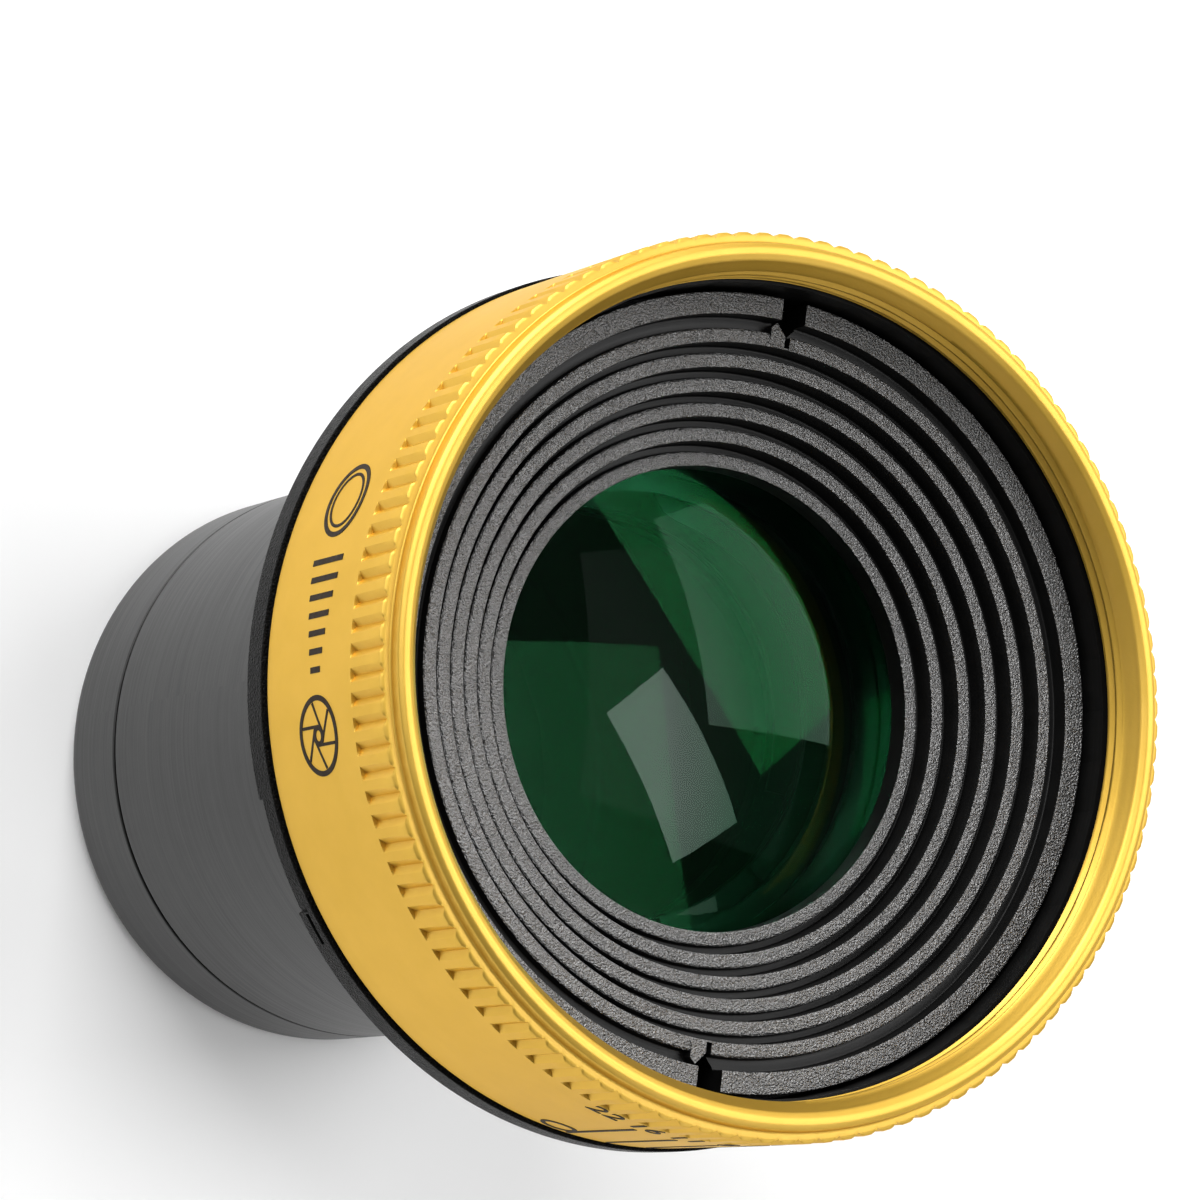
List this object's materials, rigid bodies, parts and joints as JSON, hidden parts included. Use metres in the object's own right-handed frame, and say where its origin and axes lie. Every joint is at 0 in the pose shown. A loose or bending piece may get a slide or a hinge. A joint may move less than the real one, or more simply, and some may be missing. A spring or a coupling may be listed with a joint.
{
  "type": "camera lens optic",
  "caption": "Round swappable camera lens insert with a knurled aperture ring, filter thread, stepped front baffle, mounting flange, two glass groups and an iris that the ring opens and closes.",
  "frame": {"origin": "centre of the flat rear face of the end cap", "axes": "+Z along the optical axis towards the front, +Y through the upper spanner slot of the front baffle"},
  "size_m": [0.0506, 0.0506, 0.0583],
  "materials": {
    "gold_anodised": "satin gold anodising",
    "black_anodised": "satin black anodising",
    "black_plastic": "matt, finely pebbled",
    "steel": "turned",
    "blade_black": "matt black coating",
    "crown_glass": "polished, green anti-reflection coating",
    "flint_glass": "polished"
  },
  "bodies": {
    "core": {"main_barrel": "black_anodised", "snap_ring": "steel", "front_baffle": "black_plastic", "mount_flange": "black_plastic", "flange_screw_1": "steel", "flange_screw_2": "steel", "flange_screw_3": "steel", "rear_tube": "black_anodised", "rear_cap": "black_anodised", "front_crown_lens": "crown_glass", "front_flint_lens": "flint_glass", "rear_flint_lens": "flint_glass", "rear_crown_lens": "crown_glass", "front_lens_cell": "black_anodised", "rear_lens_spacer": "black_anodised", "rear_retaining_ring": "black_anodised", "iris_base_ring": "black_anodised"},
    "ring": {"aperture_ring": "gold_anodised", "drive_pin": "steel", "iris_cam_ring": "black_anodised"},
    "blade_01": {"iris_blade_01": "blade_black"},
    "blade_02": {"iris_blade_02": "blade_black"},
    "blade_03": {"iris_blade_03": "blade_black"},
    "blade_04": {"iris_blade_04": "blade_black"},
    "blade_05": {"iris_blade_05": "blade_black"},
    "blade_06": {"iris_blade_06": "blade_black"},
    "blade_07": {"iris_blade_07": "blade_black"},
    "blade_08": {"iris_blade_08": "blade_black"},
    "blade_09": {"iris_blade_09": "blade_black"},
    "blade_10": {"iris_blade_10": "blade_black"},
    "blade_11": {"iris_blade_11": "blade_black"},
    "blade_12": {"iris_blade_12": "blade_black"}
  },
  "joints": [
    {"name": "ring_turn", "type": "hinge", "parent": "core", "child": "ring", "pos_m": [0, 0, 0.05], "axis": [0, 0, 1], "range_deg": [0, 36]},
    {"name": "blade_01_swing", "type": "hinge", "parent": "core", "child": "blade_01", "pos_m": [0.015, 0, 0.03438], "axis": [0, 0, 1], "range_deg": [0, 36]},
    {"name": "blade_02_swing", "type": "hinge", "parent": "core", "child": "blade_02", "pos_m": [0.01299, 0.0075, 0.03467], "axis": [0, 0, 1], "range_deg": [0, 36]},
    {"name": "blade_03_swing", "type": "hinge", "parent": "core", "child": "blade_03", "pos_m": [0.0075, 0.01299, 0.03497], "axis": [0, 0, 1], "range_deg": [0, 36]},
    {"name": "blade_04_swing", "type": "hinge", "parent": "core", "child": "blade_04", "pos_m": [0, 0.015, 0.03528], "axis": [0, 0, 1], "range_deg": [0, 36]},
    {"name": "blade_05_swing", "type": "hinge", "parent": "core", "child": "blade_05", "pos_m": [-0.0075, 0.01299, 0.03558], "axis": [0, 0, 1], "range_deg": [0, 36]},
    {"name": "blade_06_swing", "type": "hinge", "parent": "core", "child": "blade_06", "pos_m": [-0.01299, 0.0075, 0.03587], "axis": [0, 0, 1], "range_deg": [0, 36]},
    {"name": "blade_07_swing", "type": "hinge", "parent": "core", "child": "blade_07", "pos_m": [-0.015, 0, 0.03617], "axis": [0, 0, 1], "range_deg": [0, 36]},
    {"name": "blade_08_swing", "type": "hinge", "parent": "core", "child": "blade_08", "pos_m": [-0.01299, -0.0075, 0.03648], "axis": [0, 0, 1], "range_deg": [0, 36]},
    {"name": "blade_09_swing", "type": "hinge", "parent": "core", "child": "blade_09", "pos_m": [-0.0075, -0.01299, 0.03678], "axis": [0, 0, 1], "range_deg": [0, 36]},
    {"name": "blade_10_swing", "type": "hinge", "parent": "core", "child": "blade_10", "pos_m": [0, -0.015, 0.03707], "axis": [0, 0, 1], "range_deg": [0, 36]},
    {"name": "blade_11_swing", "type": "hinge", "parent": "core", "child": "blade_11", "pos_m": [0.0075, -0.01299, 0.03737], "axis": [0, 0, 1], "range_deg": [0, 36]},
    {"name": "blade_12_swing", "type": "hinge", "parent": "core", "child": "blade_12", "pos_m": [0.01299, -0.0075, 0.03768], "axis": [0, 0, 1], "range_deg": [0, 36]}
  ],
  "couplings": [
    {"joint": "blade_01_swing", "follows": "ring_turn", "ratio": 1},
    {"joint": "blade_02_swing", "follows": "ring_turn", "ratio": 1},
    {"joint": "blade_03_swing", "follows": "ring_turn", "ratio": 1},
    {"joint": "blade_04_swing", "follows": "ring_turn", "ratio": 1},
    {"joint": "blade_05_swing", "follows": "ring_turn", "ratio": 1},
    {"joint": "blade_06_swing", "follows": "ring_turn", "ratio": 1},
    {"joint": "blade_07_swing", "follows": "ring_turn", "ratio": 1},
    {"joint": "blade_08_swing", "follows": "ring_turn", "ratio": 1},
    {"joint": "blade_09_swing", "follows": "ring_turn", "ratio": 1},
    {"joint": "blade_10_swing", "follows": "ring_turn", "ratio": 1},
    {"joint": "blade_11_swing", "follows": "ring_turn", "ratio": 1},
    {"joint": "blade_12_swing", "follows": "ring_turn", "ratio": 1}
  ]
}
